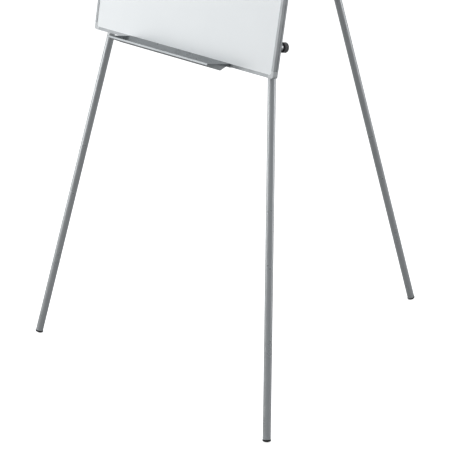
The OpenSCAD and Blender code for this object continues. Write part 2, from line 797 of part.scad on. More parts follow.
module pad_rail() {
    color("#a9adb0") leaning() difference() {
        union() {
            translate([-rail_w / 2, rail_front, rail_foot]) cube([rail_w, rail_t, rail_drop]);
            translate([-rail_w / 2, rail_front, board_top]) cube([rail_w, rail_t + board_t - 1, rail_t]);
            for (from = [-rail_w / 2, rail_w / 2 - rail_t]) along_x(from, from + rail_t) rail_ear_section();
        }
        rail_screw_places() translate([0, 0, -rail_t - cut])
            cylinder(r = rail_screw_r + still_gap, h = rail_t + 2 * cut);
        for (side = [LEFT, RIGHT]) peg_slot(side);
    }
}

// The ear at each end of the rail that carries the clamp's pin
module rail_ear_section() {
    difference() {
        union() {
            polygon([[rail_front + cut, rail_top], [rail_front + cut, pivot_up - 14],
                [pivot_front, pivot_up - pivot_ear_r], [pivot_front, pivot_up + pivot_ear_r]]);
            translate([pivot_front, pivot_up]) circle(r = pivot_ear_r);
        }
        translate([pivot_front, pivot_up]) circle(r = pivot_r + still_gap);
    }
}

// The slot that a peg slides along, towards the middle of the rail
module peg_slot(side) {
    start = peg_x - peg_travel;
    translate([0, rail_front - cut, peg_up]) backward() linear_extrude(rail_t + 2 * cut) {
        translate([side * (start + peg_travel / 2), 0]) square([peg_travel, 2 * slot_r], center = true);
        for (x = [start, peg_x]) translate([side * x, 0]) circle(r = slot_r);
    }
}

module rail_screws() {
    color("#c9cbcc") leaning() rail_screw_places() mirror([0, 0, 1]) pan_screw(rail_screw_r, 8, rail_t);
}

// The clamp bar's section: front face, foot folded back to the board
clamp_line = bent([[pivot_front + 4, bar_top + 4], [bar_front, bar_top + 4], [bar_front, bar_foot],
    [board_front + grip_front, bar_foot]], [2.5, 2.5]);

module bar_end_section() {
    difference() {
        union() {
            polygon([[bar_front, bar_top + 2], [bar_front, bar_foot + 3], [bar_front + 12, bar_foot + 3],
                [pivot_front + 6, pivot_up - 4], [pivot_front + 6, bar_top + 2]]);
            translate([pivot_front, pivot_up]) circle(r = 7);
        }
        translate([pivot_front, pivot_up]) circle(r = pivot_r + turn_gap);
    }
}

module clamp_bar() {
    end_in = bar_in - rail_t;
    color("#a9adb0") leaning() {
        along_x(-end_in, end_in) sheet_section(clamp_line, bar_t);
        for (from = [-end_in, end_in - bar_t]) along_x(from, from + bar_t) bar_end_section();
    }
}

module clamp_grip() {
    end_in = bar_in - rail_t - 10;
    groove = 0.02;
    bite = 3;
    color("#26272a") leaning() along_x(-end_in, end_in) difference() {
        translate([board_front + grip_front - bite, bar_foot - (grip_t - bar_t) / 2])
            square([bite - grip_front + frame_lip - 0.3, grip_t]);
        translate([board_front + grip_front - bite - cut, bar_foot - groove])
            square([bite + cut + groove, bar_t + 2 * groove]);
    }
}

module clamp_pins() {
    color("#c9cbcc") leaning() for (side = [LEFT, RIGHT])
        translate([side * (spring_start - 2), pivot_front, pivot_up]) rotate([0, side * 90, 0]) {
            cylinder(r = pivot_r, h = rail_w / 2 - spring_start + 2.5);
            translate([0, 0, rail_w / 2 - spring_start + 2 + face_gap])
                cylinder(r1 = 4.6, r2 = 3.6, h = 1.6);
        }
}

// The middle line of a torsion spring round the pin, with a straight leg down the bar
// and one back to the board
function spring_line() = concat(
    [[-spring_coil_r, -spring_down_leg, 0]],
    [for (i = [0 : (spring_turns - 0.25) * spring_steps]) let (a = 180 + i * 360 / spring_steps)
        [spring_coil_r * cos(a), spring_coil_r * sin(a), i * spring_pitch / spring_steps]],
    [[spring_back_leg, spring_coil_r - spring_back_fall, (spring_turns - 0.25) * spring_pitch]]);

// A wire of round section swept along a line of points
module wire(line, r, sides = 6) {
    last = len(line) - 1;
    heading = [for (i = [0 : last]) unit(line[min(i + 1, last)] - line[max(i - 1, 0)])];
    nearly_up = [0.01, 0.02, 1];       // never along the wire
    rings = [for (i = [0 : last])
        let (side = unit(cross(heading[i], nearly_up)), up = cross(side, heading[i]))
        for (k = [0 : sides - 1])
            line[i] + r * (side * cos(k * 360 / sides) + up * sin(k * 360 / sides))];
    walls = [for (i = [0 : last - 1], k = [0 : sides - 1])
        let (a = i * sides + k, b = i * sides + (k + 1) % sides) [a, b, b + sides, a + sides]];
    polyhedron(rings, concat([[for (k = [sides - 1 : -1 : 0]) k]], walls,
        [[for (k = [0 : sides - 1]) last * sides + k]]), convexity = 6);
}

module clamp_springs() {
    color("#8f9396") leaning() for (side = [LEFT, RIGHT])
        translate([side * spring_start, pivot_front, pivot_up]) mirror([side < 0 ? 1 : 0, 0, 0])
            rotate([90, 0, 90]) wire(spring_line(), spring_wire_r);
}

module pad_peg(side) {
    reach = board_front - peg_end;
    start = board_front + face_gap / 2;
    color("#c9cbcc") leaning() translate([side * peg_x, start, peg_up]) rotate([90, 0, 0]) {
        translate([0, 0, -peg_flange_t]) cylinder(r = peg_flange_r, h = peg_flange_t);
        cylinder(r = peg_shank_r, h = rail_t + peg_nut_t + 1.2);
        cylinder(r = peg_r, h = reach - 1);
        translate([0, 0, reach - 1]) cylinder(r1 = peg_r, r2 = peg_r - 1, h = 1);
    }
}

module left_pad_peg() { pad_peg(LEFT); }
module right_pad_peg() { pad_peg(RIGHT); }

module peg_nut(side) {
    color("#2e2f32") leaning() translate([side * peg_x, rail_front - face_gap, peg_up]) rotate([90, 0, 0])
        difference() {
            rotate_extrude() polygon([[0, 0], [peg_nut_r, 0], [peg_nut_r, peg_nut_t - 1],
                [peg_nut_r - 1, peg_nut_t], [0, peg_nut_t]]);
            translate([0, 0, -cut]) cylinder(r = peg_shank_r + turn_gap, h = peg_nut_t + 2 * cut);
            for (i = [1 : peg_nut_grooves]) rotate([0, 0, i * 360 / peg_nut_grooves])
                translate([peg_nut_r + 0.6, 0, -cut]) cylinder(r = 1.4, h = peg_nut_t + 2 * cut);
        }
}

module left_peg_nut() { peg_nut(LEFT); }
module right_peg_nut() { peg_nut(RIGHT); }

// ---------- drawing ----------

left_upper_tube();
right_upper_tube();
rear_upper_tube();
left_lower_tube();
right_lower_tube();
rear_lower_tube();
left_foot();
right_foot();
rear_foot();
left_guide_bush();
right_guide_bush();
rear_guide_bush();
left_clamp_collar();
right_clamp_collar();
rear_clamp_collar();
left_clamp_insert();
right_clamp_insert();
rear_clamp_insert();
left_clamp_shoe();
right_clamp_shoe();
rear_clamp_shoe();
left_clamp_knob();
right_clamp_knob();
rear_clamp_knob();
left_clamp_stud();
right_clamp_stud();
rear_clamp_stud();
tube_top_caps();
head_bracket();
head_bolts();
hinge_bolt();
hinge_nut();
hinge_washers();
rear_leg_fitting();
left_tube_saddle();
right_tube_saddle();
left_tube_strap();
right_tube_strap();
board_screws();
board_front_sheet();
board_core();
board_back_sheet();
top_frame_profile();
bottom_frame_profile();
left_frame_profile();
right_frame_profile();
corner_caps();
pen_tray();
tray_screws();
pad_rail();
rail_screws();
clamp_bar();
clamp_grip();
clamp_pins();
clamp_springs();
left_pad_peg();
right_pad_peg();
left_peg_nut();
right_peg_nut();
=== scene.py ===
"""Finer meshes, finishes, camera and studio for the flipchart easel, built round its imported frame."""

from __future__ import annotations

import json
import logging
import math
from collections.abc import Callable, Sequence
from dataclasses import dataclass
from enum import Enum

import bmesh
import bpy
from mathutils import Matrix, Vector


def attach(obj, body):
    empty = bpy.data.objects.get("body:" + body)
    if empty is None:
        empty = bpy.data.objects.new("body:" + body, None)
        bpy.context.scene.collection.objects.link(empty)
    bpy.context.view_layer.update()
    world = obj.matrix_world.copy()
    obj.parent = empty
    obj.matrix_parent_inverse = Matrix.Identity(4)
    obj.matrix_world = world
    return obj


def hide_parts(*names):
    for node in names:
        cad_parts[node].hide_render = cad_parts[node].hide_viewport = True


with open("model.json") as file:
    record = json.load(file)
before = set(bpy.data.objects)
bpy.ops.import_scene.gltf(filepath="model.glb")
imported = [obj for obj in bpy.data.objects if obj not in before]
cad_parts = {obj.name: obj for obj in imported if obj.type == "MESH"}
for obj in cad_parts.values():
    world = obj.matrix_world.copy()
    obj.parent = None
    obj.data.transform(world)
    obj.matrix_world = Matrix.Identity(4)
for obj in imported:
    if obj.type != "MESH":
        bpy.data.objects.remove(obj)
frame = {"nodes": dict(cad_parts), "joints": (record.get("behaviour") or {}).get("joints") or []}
bpy.context.view_layer.update()

log = logging.getLogger("easel")
MM = 0.001
GRAIN = "grain"          # attribute: a point's place in its piece's own axes, in metres
EDGE = "edge"            # attribute: 1 on rounded edges, 0 elsewhere
MERGE_DISTANCE = 2e-6    # metres between points that count as one
FRAME_BODY = "front_frame"
Colour = tuple[float, float, float]
Tree = bpy.types.NodeTree
Socket = bpy.types.NodeSocket


# ---------------------------------------------------------------- axes


@dataclass(frozen=True)
class Axes:
    """Local axes in the frame: a matrix from local metres to the frame's metres."""

    matrix: Matrix

    @classmethod
    def of(cls, origin: Vector, x: Vector, y: Vector, z: Vector) -> Axes:
        """Makes axes from an origin and three unit directions.

        Args:
            origin: the local origin in the frame.
            x: direction of the local x axis.
            y: direction of the local y axis.
            z: direction of the local z axis.

        Returns:
            The axes.
        """
        rows = [(x[i], y[i], z[i], origin[i]) for i in range(3)]
        return cls(Matrix([*rows, (0.0, 0.0, 0.0, 1.0)]))

    def box(self, node: str) -> tuple[Vector, Vector]:
        """Finds a CAD node's extent along these axes.

        Args:
            node: the CAD node's name.

        Returns:
            Its lowest and its highest corner in these axes.
        """
        inverse = self.matrix.inverted()
        points = [inverse @ v.co for v in frame["nodes"][node].data.vertices]
        low = Vector(min(p[i] for p in points) for i in range(3))
        high = Vector(max(p[i] for p in points) for i in range(3))
        return low, high

    def shifted(self, x: float = 0.0, y: float = 0.0, z: float = 0.0) -> Axes:
        """Moves the origin by a distance along each local axis and returns the new axes."""
        return Axes(self.matrix @ Matrix.Translation((x, y, z)))

    def facing_back(self) -> Axes:
        """Turns the axes so that the old y becomes the new z, and returns them."""
        return Axes(self.matrix @ Matrix.Rotation(-math.pi / 2, 4, "X"))

    def facing_right(self) -> Axes:
        """Turns the axes so that the old x becomes the new z and the old y the new x."""
        turn = Matrix(((0, 0, 1, 0), (1, 0, 0, 0), (0, 1, 0, 0), (0, 0, 0, 1)))
        return Axes(self.matrix @ turn)


def joint(name: str) -> dict:
    """Looks up a joint of the frame by its name."""
    return next(j for j in frame["joints"] if j["name"] == name)


def joint_axis(name: str) -> Vector:
    """The unit direction of a joint's axis in the frame."""
    return Vector(joint(name)["axis"]).normalized()


def board_axes() -> Axes:
    """Finds the board's axes.

    Returns:
        Axes with x across, y square to the board towards the back from its front face,
        and z up the board from its lower edge.
    """
    across, back = Vector((1, 0, 0)), -joint_axis("left_peg_nut_turn")
    raw = Axes.of(Vector(), across, back, across.cross(back))
    low, _ = raw.box("left_frame_profile")
    bottom, _ = raw.box("bottom_frame_profile")
    return raw.shifted(0.0, low.y, bottom.z)


class LegName(Enum):
    """The three legs."""

    LEFT = "left"
    RIGHT = "right"
    REAR = "rear"

    @property
    def frame_body(self) -> str:
        """The body that holds the leg's upper tube."""
        return "rear_leg" if self is LegName.REAR else FRAME_BODY

    @property
    def lower_body(self) -> str:
        """The body that holds the leg's lower tube."""
        return f"{self.value}_lower_leg"

    def axes(self) -> Axes:
        """Finds the leg's axes.

        Returns:
            Axes with z up the leg from its lower tube's end, and y along its clamp's screw.
        """
        up, back = joint_axis(f"{self.value}_leg_slide"), joint_axis(f"{self.value}_knob_turn")
        raw = Axes.of(Vector(), back.cross(up), back, up)
        low, high = raw.box(f"{self.value}_lower_tube")
        return raw.shifted((low.x + high.x) / 2, (low.y + high.y) / 2, low.z)


# ---------------------------------------------------------------- shapes


class Shape:
    """A mesh drawn in local axes, which becomes one piece of the easel. Angles in degrees."""

    FLAT_WITHIN = 0.6        # faces that differ by less are one flat face
    SHARP_ABOVE = 32.0       # edges that turn by more are rounded
    CREASE_ABOVE = 38.0      # edges that turn by more break the smooth shading

    def __init__(self, axes: Axes) -> None:
        """Starts an empty mesh in these axes."""
        self.axes = axes
        self.bm = bmesh.new()

    def loft(self, rings: Sequence[Sequence[Vector]]) -> None:
        """Joins closed rings of points with faces and fills the first and the last ring.

        Args:
            rings: rings with the same number of points.
        """
        made = [[self.bm.verts.new(p) for p in ring] for ring in rings]
        count = len(made[0])
        for low, high in zip(made, made[1:]):
            for i in range(count):
                j = (i + 1) % count
                self.bm.faces.new((low[i], low[j], high[j], high[i]))
        self.bm.faces.new(made[0][::-1])
        self.bm.faces.new(made[-1])

    def sweep(self, path: Sequence[Vector], radius: float, sides: int = 12) -> None:
        """Runs a round wire along a path, with filled ends.

        Args:
            path: points of the wire's middle line, in metres.
            radius: the wire's radius, in metres.
            sides: flat faces round the wire.
        """
        rings, side = [], None
        for i, point in enumerate(path):
            ahead = (path[min(i + 1, len(path) - 1)] - path[max(i - 1, 0)]).normalized()
            start = ahead.orthogonal() if side is None else side
            side = (start - ahead * start.dot(ahead)).normalized()
            other = ahead.cross(side)
            turns = [math.tau * k / sides for k in range(sides)]
            rings.append([point + radius * (side * math.cos(a) + other * math.sin(a)) for a in turns])
        self.loft(rings)

    def carry(self, node: str) -> None:
        """Takes a CAD node's shape, with its flat faces whole again, to be given softer edges.

        Args:
            node: the CAD node's name.
        """
        copied = bmesh.new()
        copied.from_mesh(frame["nodes"][node].data)
        bmesh.ops.remove_doubles(copied, verts=copied.verts, dist=MERGE_DISTANCE)
        flat = math.radians(self.FLAT_WITHIN)
        bmesh.ops.dissolve_limit(copied, angle_limit=flat, verts=copied.verts, edges=copied.edges)
        copied.transform(self.axes.matrix.inverted())
        whole = bpy.data.meshes.new("carried")
        copied.to_mesh(whole)
        copied.free()
        self.bm.from_mesh(whole)
        bpy.data.meshes.remove(whole)

    def soften(self, width: float, segments: int = 2) -> None:
        """Rounds the mesh's sharp edges and marks the rounded faces.

        Args:
            width: how far the rounding reaches, in millimetres.
            segments: flat faces across each rounded edge.
        """
        bmesh.ops.remove_doubles(self.bm, verts=self.bm.verts, dist=MERGE_DISTANCE)
        bmesh.ops.recalc_face_normals(self.bm, faces=self.bm.faces)
        mark = self.bm.faces.layers.float.new(EDGE)
        limit = math.radians(self.SHARP_ABOVE)
        sharp = [e for e in self.bm.edges if e.is_manifold and e.calc_face_angle(0.0) > limit]
        made = bmesh.ops.bevel(
            self.bm, geom=sharp, offset=width * MM, segments=segments, profile=0.5,
            affect="EDGES", clamp_overlap=True, miter_outer="SHARP", miter_inner="SHARP",
        )
        for face in made["faces"]:
            face[mark] = 1.0

    def finish(self, name: str, body: str, finish: Finish, *nodes: str) -> None:
        """Makes the mesh a piece of the easel.

        Args:
            name: the piece's name.
            body: the body that it rides on.
            finish: its surface.
            *nodes: the CAD nodes that it stands for.
        """
        bm = self.bm
        bmesh.ops.remove_doubles(bm, verts=bm.verts, dist=MERGE_DISTANCE)
        loose = [v for v in bm.verts if not v.link_faces]
        bmesh.ops.delete(bm, geom=loose, context="VERTS")
        bmesh.ops.recalc_face_normals(bm, faces=bm.faces)
        if EDGE not in bm.faces.layers.float:
            bm.faces.layers.float.new(EDGE)
        place = bm.verts.layers.float_vector.new(GRAIN)
        for v in bm.verts:
            v[place] = v.co
        for face in bm.faces:
            face.smooth = True
        crease = math.radians(self.CREASE_ABOVE)
        for edge in bm.edges:
            edge.smooth = edge.calc_face_angle(0.0) < crease
        bm.transform(self.axes.matrix)
        mesh = bpy.data.meshes.new(name)
        bm.to_mesh(mesh)
        bm.free()
        made = bpy.data.objects.new(name, mesh)
        bpy.context.scene.collection.objects.link(made)
        even = made.modifiers.new("even_shading", "WEIGHTED_NORMAL")
        even.keep_sharp = True
        mesh.materials.append(finish.material())
        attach(made, body)
        if nodes:
            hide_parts(*nodes)
        log.info("%s: %d faces on %s", name, len(mesh.polygons), body)


def softened(node: str, body: str, finish: Finish, axes: Axes, width: float) -> None:
    """Makes a piece with a CAD node's shape and softer edges, named after the node.

    Args:
        node: the CAD node that the piece stands for.
        body: the body that it rides on.
        finish: its surface.
        axes: the axes that its grain follows.
        width: the reach of its edges' rounding, in millimetres.
    """
    shape = Shape(axes)
    shape.carry(node)
    shape.soften(width)
    shape.finish(f"{node}_finished", body, finish, node)


# ---------------------------------------------------------------- nodes


def put(tree: Tree, kind: str, inputs: dict | None = None, **settings: object) -> bpy.types.Node:
    """Adds a node to a tree.

    Args:
        tree: the node tree.
        kind: the node's type name.
        inputs: values, or sockets to link, by input name or number.
        **settings: the node's own properties.

    Returns:
        The new node.
    """
    node = tree.nodes.new(kind)
    for key, value in settings.items():
        setattr(node, key, value)
    for key, value in (inputs or {}).items():
        if isinstance(value, Socket):
            tree.links.new(value, node.inputs[key])
        else:
            node.inputs[key].default_value = value
    return node


def maths(tree: Tree, operation: str, *values: object, clamp: bool = False) -> Socket:
    """Adds a Math node on the given values or sockets and returns its result."""
    node = put(tree, "ShaderNodeMath", dict(enumerate(values)), operation=operation, use_clamp=clamp)
    return node.outputs[0]


def noise(tree: Tree, place: object, scale: object, detail: float = 3.0) -> Socket:
    """Adds a Noise node at a place and returns its value."""
    node = put(tree, "ShaderNodeTexNoise", {"Vector": place, "Scale": scale, "Detail": detail})
    return node.outputs[0]


def ramp(tree: Tree, value: object, low: object, high: object) -> Socket:
    """Adds a smooth step from 0 at low to 1 at high and returns it."""
    inputs = {"Value": value, "From Min": low, "From Max": high}
    return put(tree, "ShaderNodeMapRange", inputs, interpolation_type="SMOOTHSTEP").outputs[0]


def blend(tree: Tree, factor: object, first: object, second: object) -> Socket:
    """Adds a mix of two colours.

    Args:
        tree: the node tree.
        factor: the second colour's share.
        first: the colour at 0.
        second: the colour at 1.

    Returns:
        The mixed colour.
    """
    node = put(tree, "ShaderNodeMix", data_type="RGBA")
    for index, value in ((0, factor), (6, first), (7, second)):
        if isinstance(value, Socket):
            tree.links.new(value, node.inputs[index])
        else:
            node.inputs[index].default_value = value
    return node.outputs[2]


class Effect(Enum):
    """The surface effects, each made once as a node group."""

    STREAKS = "streaks"
    MOTTLE = "mottle"
    PEEL = "orange_peel"
    SPANGLE = "spangle"
    # rubbed edges, and a painted highlight on the knob's rib edges
    EDGE_WEAR_AND_HIGHLIGHT = "edge_wear"
    DUST = "dust"
    SCRATCHES = "scratches"

    def group(self) -> Tree:
        """Finds the effect's node group, and makes it at the first use.

        Returns:
            The group, with the output Value or Mask.
        """
        found = bpy.data.node_groups.get(self.value)
        if found:
            return found
        names, out, draw = EFFECTS[self]
        tree = bpy.data.node_groups.new(self.value, "ShaderNodeTree")
        for name in ("Place", *names):
            kind = "NodeSocketVector" if name == "Place" else "NodeSocketFloat"
            tree.interface.new_socket(name, in_out="INPUT", socket_type=kind)
        tree.interface.new_socket(out, in_out="OUTPUT", socket_type="NodeSocketFloat")
        start = put(tree, "NodeGroupInput").outputs
        put(tree, "NodeGroupOutput", {out: draw(tree, start)})
        return tree

    def use(self, tree: Tree, place: Socket, **values: object) -> Socket:
        """Places the effect in a material.

        Args:
            tree: the material's node tree.
            place: the point's place in its piece's axes.
            **values: the group's other inputs, in lower case.

        Returns:
            The effect's value or mask.
        """
        inputs = {"Place": place} | {name.capitalize(): value for name, value in values.items()}
        node = tree.nodes.new("ShaderNodeGroup")
        node.node_tree = self.group()
        for key, value in inputs.items():
            if isinstance(value, Socket):
                tree.links.new(value, node.inputs[key])
            else:
                node.inputs[key].default_value = value
        return node.outputs[0]


def draw_streaks(tree: Tree, start: bpy.types.NodeInputs) -> Socket:
    """Fine lines along the piece's z axis, as a drawn tube or an extruded bar has them.

    Args:
        tree: the group's node tree.
        start: the group's inputs.

    Returns:
        The height of the lines.
    """
    stretch = put(tree, "ShaderNodeCombineXYZ", {0: start["Across"], 1: start["Across"], 2: start["Along"]})
    inputs = {0: start["Place"], 1: stretch.outputs[0]}
    pulled = put(tree, "ShaderNodeVectorMath", inputs, operation="MULTIPLY")
    return noise(tree, pulled.outputs[0], 1.0, 4.0)


def draw_mottle(tree: Tree, start: bpy.types.NodeInputs) -> Socket:
    """Soft cloudy patches of uneven colour or gloss."""
    return ramp(tree, noise(tree, start["Place"], start["Scale"], 5.0), 0.3, 0.7)


def draw_peel(tree: Tree, start: bpy.types.NodeInputs) -> Socket:
    """The low rounded bumps of a sprayed coat or of a textured mould.

    Args:
        tree: the group's node tree.
        start: the group's inputs.

    Returns:
        The height of the bumps.
    """
    fine = maths(tree, "MULTIPLY", start["Scale"], 2.7)
    small = maths(tree, "MULTIPLY", noise(tree, start["Place"], fine, 1.0), 0.35)
    return maths(tree, "ADD", noise(tree, start["Place"], start["Scale"], 1.0), small)


def draw_spangle(tree: Tree, start: bpy.types.NodeInputs) -> Socket:
    """The crystals of a zinc coat, each with its own shade."""
    cells = put(tree, "ShaderNodeTexVoronoi", {"Vector": start["Place"], "Scale": start["Scale"]})
    return put(tree, "ShaderNodeSeparateColor", {0: cells.outputs["Color"]}).outputs[0]


def draw_wear_and_highlight(tree: Tree, start: bpy.types.NodeInputs) -> Socket:
    """Patchy rubbing along the rounded edges, which on the knob plastic is a painted highlight.

    Args:
        tree: the group's node tree.
        start: the group's inputs.

    Returns:
        The mask of the rubbed places and of the painted highlights.
    """
    least = maths(tree, "SUBTRACT", 1.0, start["Amount"])
    full = maths(tree, "ADD", least, 0.25)
    patches = ramp(tree, noise(tree, start["Place"], start["Scale"], 4.0), least, full)
    return maths(tree, "MULTIPLY", patches, start["Edge"])


def draw_dust(tree: Tree, start: bpy.types.NodeInputs) -> Socket:
    """A thin uneven layer on what faces up.

    Args:
        tree: the group's node tree.
        start: the group's inputs.

    Returns:
        The mask of the dust.
    """
    normal = put(tree, "ShaderNodeNewGeometry").outputs["Normal"]
    up = put(tree, "ShaderNodeSeparateXYZ", {0: normal}).outputs["Z"]
    patches = ramp(tree, noise(tree, start["Place"], start["Scale"], 6.0), 0.25, 0.8)
    lying = maths(tree, "MULTIPLY", ramp(tree, up, 0.2, 1.0), patches)
    return maths(tree, "MULTIPLY", lying, start["Amount"])


def draw_scratches(tree: Tree, start: bpy.types.NodeInputs) -> Socket:
    """A few hair-thin marks in scattered patches.

    Args:
        tree: the group's node tree.
        start: the group's inputs.

    Returns:
        The mask of the marks.
    """
    inputs = {"Vector": start["Place"], "Scale": start["Scale"], "Distortion": 9.0, "Detail": 2.0}
    lines = put(tree, "ShaderNodeTexWave", inputs).outputs[1]
    patches = ramp(tree, noise(tree, start["Place"], 23.0, 2.0), 0.55, 0.7)
    thin = maths(tree, "MULTIPLY", ramp(tree, lines, 0.97, 1.0), patches)
    return maths(tree, "MULTIPLY", thin, start["Amount"])


EFFECTS: dict[Effect, tuple[tuple[str, ...], str, Callable]] = {
    Effect.STREAKS: (("Across", "Along"), "Value", draw_streaks),
    Effect.MOTTLE: (("Scale",), "Value", draw_mottle),
    Effect.PEEL: (("Scale",), "Value", draw_peel),
    Effect.SPANGLE: (("Scale",), "Value", draw_spangle),
    Effect.EDGE_WEAR_AND_HIGHLIGHT: (("Edge", "Scale", "Amount"), "Mask", draw_wear_and_highlight),
    Effect.DUST: (("Scale", "Amount"), "Mask", draw_dust),
    Effect.SCRATCHES: (("Scale", "Amount"), "Mask", draw_scratches),
}


# ---------------------------------------------------------------- finishes


class Relief(Enum):
    """The fine relief of a finish."""

    DRAWN = "drawn"          # die lines along the piece
    COAT = "coat"            # a sprayed or powdered coat
    MOULDED = "moulded"      # an eroded mould's fine texture
    SPANGLE = "spangle"      # zinc crystals
    PAPER = "paper"          # pressed fibres


@dataclass(frozen=True)
class Finish:
    """One surface of the easel: its colours, gloss, relief, edge wear (on the knob plastic a painted
    highlight on the rib edges) and dust.
    """

    slot: str
    colour: Colour
    shade: Colour
    # colour of rubbed edges and scratches; on the knob plastic it is a painted highlight
    wear_and_highlight: Colour
    relief: Relief
    metallic: float = 0.0
    roughness: float = 0.5
    uneven: float = 0.12          # how far the roughness strays
    grain: float = 0.6            # size of the relief in millimetres
    depth: float = 0.01           # depth of the relief in millimetres
    # share of the rounded edges that takes that colour: rubbing, and on the knob plastic a painted
    # highlight
    wear_and_highlight_share: float = 0.35
    dust: float = 0.12
    scratches: float = 0.2
    coat: float = 0.0

    CLOUD_SCALE = 14.0            # patches to a metre: uneven colour
    SMEAR_SCALE = 31.0            # uneven gloss
    WEAR_SCALE = 160.0
    DUST_SCALE = 45.0
    SCRATCH_SCALE = 60.0
    RELIEF_SHARE = 0.6            # share of the relief in the colour's variation
    DUST_COLOUR = (0.42, 0.41, 0.39)
    DUST_ROUGHNESS = 0.4          # added where dust lies
    SCRATCH_HEIGHT = 0.5          # depth of a scratch against the relief's
    COAT_ROUGHNESS = 0.2
    DIE_LINE_STRETCH = 90         # length of a die line against its width

    def material(self) -> bpy.types.Material:
        """Finds the finish's material, and builds it at the first use.

        Returns:
            The material.
        """
        name = f"{self.slot}_finish"
        found = bpy.data.materials.get(name)
        if found:
            return found
        made = bpy.data.materials.new(name)
        made.use_nodes = True
        tree = made.node_tree
        shader = tree.nodes["Principled BSDF"]
        place = put(tree, "ShaderNodeAttribute", attribute_name=GRAIN).outputs["Vector"]
        edge = put(tree, "ShaderNodeAttribute", attribute_name=EDGE).outputs["Fac"]
        self.dress(tree, shader, place, edge)
        return made

    def height(self, tree: Tree, place: Socket) -> Socket:
        """Draws the fine relief.

        Args:
            tree: the material's node tree.
            place: the point's place in its piece's axes.

        Returns:
            The height, about 0 to 1.
        """
        across = 1 / (self.grain * MM)
        match self.relief:
            case Relief.DRAWN:
                return Effect.STREAKS.use(tree, place, across=across, along=across / self.DIE_LINE_STRETCH)
            case Relief.SPANGLE:
                return Effect.SPANGLE.use(tree, place, scale=across)
            case Relief.PAPER:
                return Effect.MOTTLE.use(tree, place, scale=across)
            case _:
                return Effect.PEEL.use(tree, place, scale=across)

    def dress(self, tree: Tree, shader: bpy.types.Node,
              place: Socket, edge: Socket) -> None:
        """Joins the finish's colours, gloss and relief to its shader.

        Args:
            tree: the material's node tree.
            shader: the Principled BSDF.
            place: the point's place in its piece's axes.
            edge: 1 on rounded edges.
        """
        height = self.height(tree, place)
        clouds = Effect.MOTTLE.use(tree, place, scale=self.CLOUD_SCALE)
        if self.relief in (Relief.DRAWN, Relief.SPANGLE):
            broad = maths(tree, "MULTIPLY", clouds, 1 - self.RELIEF_SHARE)
            variation = maths(tree, "MULTIPLY_ADD", height, self.RELIEF_SHARE, broad)
        else:
            variation = clouds
        # Edge mask: rubbed edges, and on the knob plastic a painted highlight on the rib edges.
        wear_and_highlight = Effect.EDGE_WEAR_AND_HIGHLIGHT.use(tree, place, edge=edge, scale=self.WEAR_SCALE, amount=self.wear_and_highlight_share)
        dust = Effect.DUST.use(tree, place, scale=self.DUST_SCALE, amount=self.dust)
        marks = Effect.SCRATCHES.use(tree, place, scale=self.SCRATCH_SCALE, amount=self.scratches)
        base = blend(tree, variation, (*self.shade, 1), (*self.colour, 1))
        base = blend(tree, wear_and_highlight, base, (*self.wear_and_highlight, 1))
        base = blend(tree, marks, base, (*self.wear_and_highlight, 1))
        base = blend(tree, dust, base, (*self.DUST_COLOUR, 1))
        tree.links.new(base, shader.inputs["Base Color"])
        smears = maths(tree, "SUBTRACT", Effect.MOTTLE.use(tree, place, scale=self.SMEAR_SCALE), 0.5)
        rough = maths(tree, "MULTIPLY_ADD", smears, self.uneven, self.roughness)
        rough = maths(tree, "MULTIPLY_ADD", dust, self.DUST_ROUGHNESS, rough, clamp=True)
        tree.links.new(rough, shader.inputs["Roughness"])
        total = maths(tree, "SUBTRACT", height, maths(tree, "MULTIPLY", marks, self.SCRATCH_HEIGHT))
        bump = put(tree, "ShaderNodeBump", {"Height": total, "Distance": self.depth * MM, "Strength": 1.0})
        tree.links.new(bump.outputs["Normal"], shader.inputs["Normal"])
        shader.inputs["Metallic"].default_value = self.metallic
        shader.inputs["Coat Weight"].default_value = self.coat
        shader.inputs["Coat Roughness"].default_value = self.COAT_ROUGHNESS


STEEL = (0.62, 0.63, 0.64)
LEG_TUBE = Finish("leg_tube", (0.57, 0.59, 0.60), (0.51, 0.53, 0.54), STEEL, Relief.DRAWN,
                  metallic=0.65, roughness=0.33, grain=0.35, depth=0.004, wear_and_highlight_share=0.4)
FOOT_RUBBER = Finish("foot_rubber", (0.016, 0.016, 0.018), (0.010, 0.010, 0.011), (0.06, 0.06, 0.06),
                     Relief.MOULDED, roughness=0.75, grain=0.5, depth=0.05, wear_and_highlight_share=0.45, dust=0.2)
DARK_PLASTIC = Finish("dark_plastic", (0.040, 0.041, 0.044), (0.030, 0.031, 0.033), (0.10, 0.10, 0.105),
                      Relief.MOULDED, roughness=0.5, grain=0.3, depth=0.015)
# The knob plastic's light edge colour, laid strongly on the rounded rib edges through the edge-wear mask,
# is a painted highlight; the peg nuts share it.
KNOB_PLASTIC_PAINTED_HIGHLIGHT = Finish("knob_plastic", (0.062, 0.062, 0.067), (0.05, 0.05, 0.055), (0.26, 0.26, 0.265),
                      Relief.MOULDED, roughness=0.42, grain=0.35, depth=0.02, wear_and_highlight_share=0.8)
PLATED_STEEL = Finish("plated_steel", (0.50, 0.51, 0.52), (0.42, 0.43, 0.45), (0.38, 0.37, 0.36),
                      Relief.DRAWN, metallic=1.0, roughness=0.36, grain=0.4, depth=0.004)
NYLON = Finish("nylon", (0.74, 0.72, 0.66), (0.68, 0.66, 0.59), (0.80, 0.79, 0.75), Relief.MOULDED,
               roughness=0.45, grain=0.5, depth=0.01)
GREY_STEEL = Finish("grey_steel", (0.40, 0.42, 0.43), (0.35, 0.37, 0.38), STEEL, Relief.COAT,
                    metallic=0.35, roughness=0.45, grain=0.9, depth=0.02)
TRAY_STEEL = Finish("tray_steel", (0.34, 0.355, 0.365), (0.30, 0.315, 0.325), STEEL, Relief.COAT,
                    metallic=0.92, roughness=0.3, grain=0.8, depth=0.006, dust=0.08)
